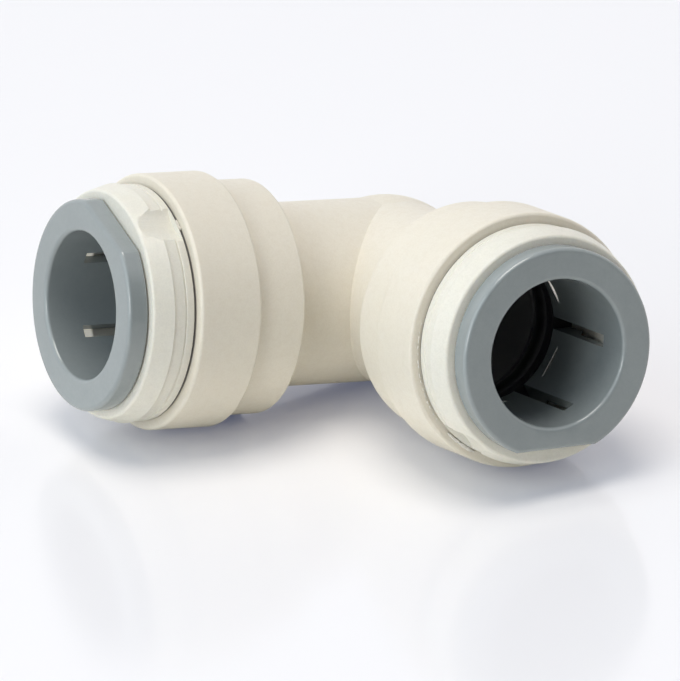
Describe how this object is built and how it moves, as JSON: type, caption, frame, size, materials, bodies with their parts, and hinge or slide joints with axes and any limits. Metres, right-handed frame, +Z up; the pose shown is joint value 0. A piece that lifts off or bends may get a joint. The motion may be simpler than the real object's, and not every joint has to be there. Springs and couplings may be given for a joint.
{
  "type": "push-fit elbow",
  "caption": "Plastic push-fit elbow that joins tubes at a right angle, with a sliding grey collet, steel grip teeth and a rubber seal in each port.",
  "frame": {"origin": "on the surface that the elbow lies on, below the middle of the whole object", "axes": "+Z up from the surface; port a opens towards -Y and port b towards +X, both rising about 8.5 degrees because the elbow leans back onto its corner"},
  "size_m": [0.0503, 0.0504, 0.027],
  "materials": {
    "body_plastic": "warm off-white moulded acetal with a fine matt grain",
    "collet_plastic": "satin blue-grey moulded plastic",
    "seal_rubber": "smooth black rubber",
    "spacer_plastic": "plain dark plastic",
    "tooth_steel": "bright stamped stainless steel"
  },
  "bodies": {
    "fitting": {"elbow_body": "body_plastic", "retaining_cap_a": "body_plastic", "seal_ring_a": "seal_rubber", "spacer_ring_a": "spacer_plastic", "retaining_cap_b": "body_plastic", "seal_ring_b": "seal_rubber", "spacer_ring_b": "spacer_plastic"},
    "collet_unit_a": {"collet_a": "collet_plastic", "grip_tooth_a1": "tooth_steel", "grip_tooth_a2": "tooth_steel", "grip_tooth_a3": "tooth_steel", "grip_tooth_a4": "tooth_steel", "grip_tooth_a5": "tooth_steel", "grip_tooth_a6": "tooth_steel"},
    "collet_unit_b": {"collet_b": "collet_plastic", "grip_tooth_b1": "tooth_steel", "grip_tooth_b2": "tooth_steel", "grip_tooth_b3": "tooth_steel", "grip_tooth_b4": "tooth_steel", "grip_tooth_b5": "tooth_steel", "grip_tooth_b6": "tooth_steel"}
  },
  "joints": [
    {"name": "collet_slide_a", "type": "slide", "parent": "fitting", "child": "collet_unit_a", "axis": [-0.0111, -0.9889, 0.1481], "range_m": [-0.00018, 0.0022]},
    {"name": "collet_slide_b", "type": "slide", "parent": "fitting", "child": "collet_unit_b", "axis": [0.9889, 0.0111, 0.1481], "range_m": [-0.00018, 0.0022]}
  ]
}
